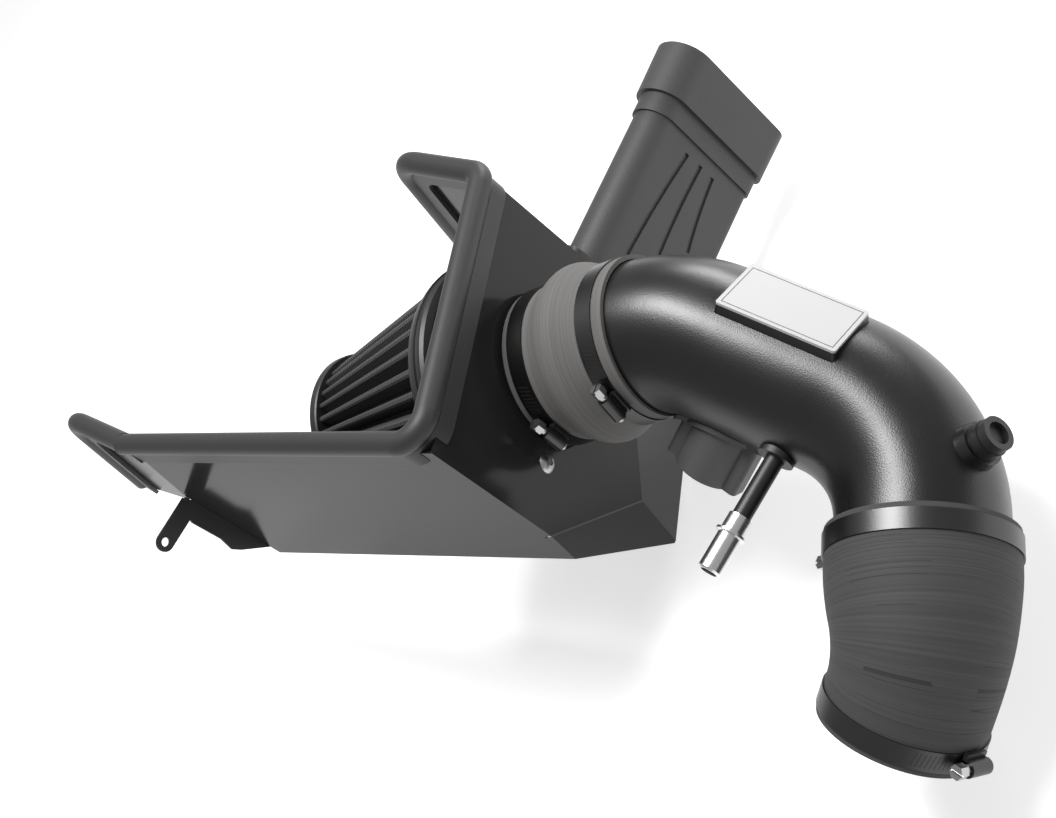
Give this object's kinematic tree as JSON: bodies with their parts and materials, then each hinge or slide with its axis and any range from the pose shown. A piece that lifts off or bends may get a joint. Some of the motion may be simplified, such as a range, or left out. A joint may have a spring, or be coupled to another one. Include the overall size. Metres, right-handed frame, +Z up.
{
  "type": "cold air intake pipe",
  "caption": "Bent black intake tube with silicone hoses joining a cone air filter in a folded heat shield to a throttle elbow, with an inlet duct and fittings",
  "frame": {"origin": "centre of the throttle hose's open mouth", "axes": "+Z up as installed, +X from the filter along the tube out of the heat shield's main wall, +Y along that wall's top edge towards the rear wall"},
  "size_m": [0.7147, 0.5058, 0.2577],
  "materials": {
    "shield_paint": "fine satin powder coat",
    "trim_rubber": "matte",
    "bracket_paint": "satin",
    "filter_rubber": "matte",
    "filter_media": "pleated, dry",
    "cage_wire": "plain",
    "tube_plastic": "leather grain",
    "silicone_light": "wrapped weave",
    "silicone_dark": "wrapped weave",
    "clamp_steel": "dark polished",
    "screw_steel": "zinc plated",
    "plate_aluminium": "brushed",
    "nipple_aluminium": "turned",
    "fitting_plastic": "satin",
    "insert_brass": "dark plated",
    "grommet_rubber": "satin",
    "duct_plastic": "satin"
  },
  "bodies": {
    "root": {"heat_shield": "shield_paint", "edge_trim": "trim_rubber", "mounting_bracket": "bracket_paint", "filter_adapter": "fitting_plastic", "filter_base": "filter_rubber", "filter_media": "filter_media", "filter_cap": "filter_rubber", "filter_cage": "cage_wire", "filter_hose": "silicone_light", "intake_tube": "tube_plastic", "badge_plate": "plate_aluminium", "sensor_mount": "fitting_plastic", "vent_grommet": "grommet_rubber", "vent_pipe": "fitting_plastic", "vent_nipple": "nipple_aluminium", "plug_insert": "insert_brass", "vacuum_plug": "grommet_rubber", "elbow_hose": "silicone_dark", "inlet_duct": "duct_plastic", "duct_gasket": "grommet_rubber", "adapter_screws": "screw_steel", "adapter_nuts": "screw_steel", "duct_screws": "screw_steel", "duct_nuts": "screw_steel", "hose_clamp_shield_band": "clamp_steel", "hose_clamp_shield_housing": "clamp_steel", "hose_clamp_shield_screw": "screw_steel", "hose_clamp_tube_band": "clamp_steel", "hose_clamp_tube_housing": "clamp_steel", "hose_clamp_tube_screw": "screw_steel", "elbow_clamp_tube_band": "clamp_steel", "elbow_clamp_tube_housing": "clamp_steel", "elbow_clamp_tube_screw": "screw_steel", "elbow_clamp_throttle_band": "clamp_steel", "elbow_clamp_throttle_housing": "clamp_steel", "elbow_clamp_throttle_screw": "screw_steel", "filter_clamp_band": "clamp_steel", "filter_clamp_housing": "clamp_steel", "filter_clamp_screw": "screw_steel"}
  },
  "joints": []
}
